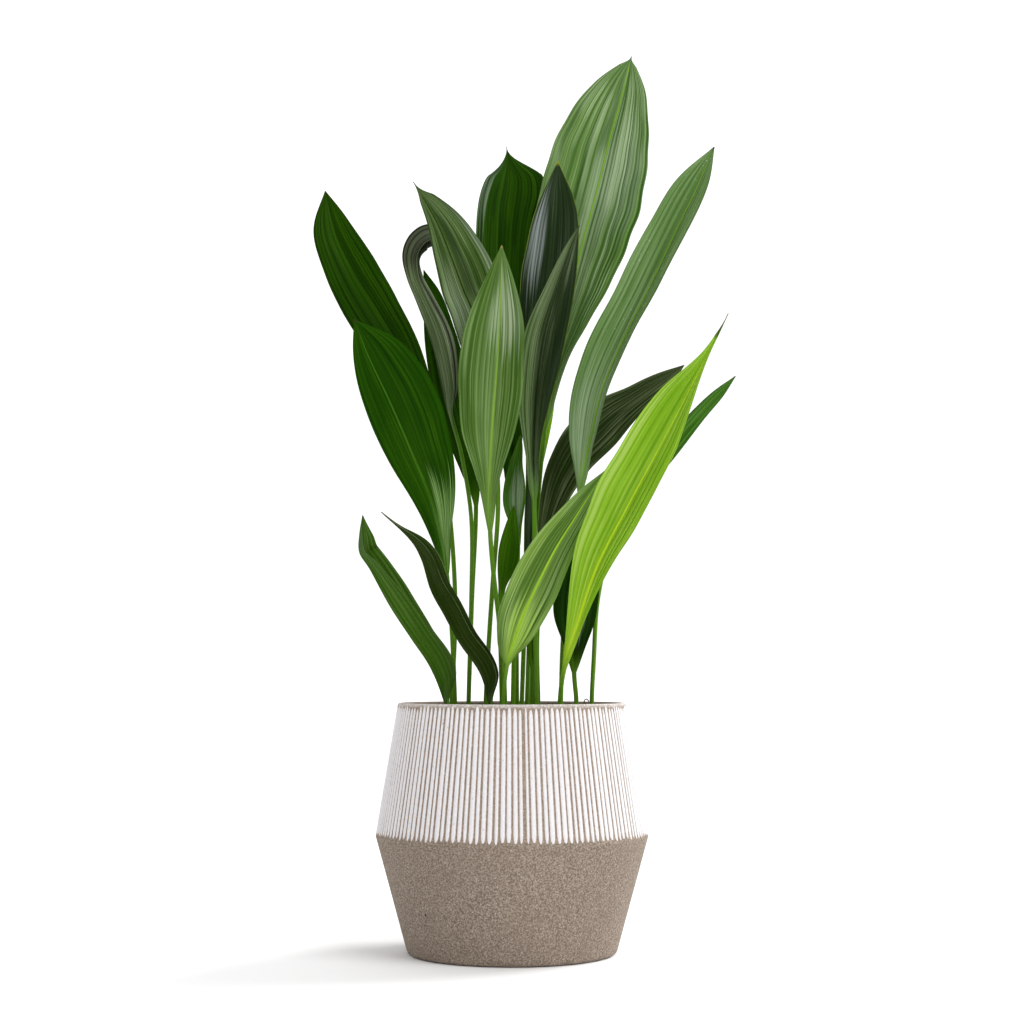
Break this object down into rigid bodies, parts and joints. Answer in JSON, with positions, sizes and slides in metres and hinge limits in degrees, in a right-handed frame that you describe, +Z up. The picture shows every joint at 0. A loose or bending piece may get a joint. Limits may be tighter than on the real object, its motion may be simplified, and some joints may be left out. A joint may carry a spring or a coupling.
{
  "type": "potted cast iron plant",
  "caption": "Cast iron plant with broad upright leaves on slender stalks, growing from a creeping rhizome in a ribbed two-tone planter.",
  "frame": {"origin": "centre of the planter's foot, on the surface it stands on", "axes": "+Z up along the planter's axis, -Y to the front of the plant, +X to its right"},
  "size_m": [0.4425, 0.3503, 0.9432],
  "materials": {
    "stoneware": "matte fired stoneware, white ribs above, bare grey-brown below",
    "soil": "damp dark potting mix",
    "rhizome": "scaly light brown bark",
    "leaf_dark": "dark green, leathery, softly glossy",
    "leaf_green": "mid green with fine pale veins, softly glossy",
    "leaf_lime": "yellow-green young leaf, softly glossy"
  },
  "bodies": {
    "root": {"pot": "stoneware", "soil": "soil", "rhizome": "rhizome", "leaf_left_rear": "leaf_dark", "leaf_left_broad": "leaf_dark", "leaf_left_striped": "leaf_green", "leaf_left_curled": "leaf_green", "leaf_left_inner": "leaf_dark", "leaf_top_dark": "leaf_dark", "leaf_top_blue": "leaf_dark", "leaf_top_broad": "leaf_green", "leaf_centre_folded": "leaf_green", "leaf_rear_lime": "leaf_lime", "leaf_centre_front": "leaf_green", "leaf_front_right": "leaf_green", "leaf_right_lime": "leaf_lime", "leaf_right_shade": "leaf_dark", "leaf_right_tall": "leaf_green", "leaf_right_rear": "leaf_dark", "leaf_right_thin": "leaf_dark", "leaf_centre_young": "leaf_green", "leaf_centre_small": "leaf_dark", "leaf_front_left": "leaf_dark", "leaf_front_olive": "leaf_dark", "leaf_centre_short": "leaf_dark"}
  },
  "joints": []
}
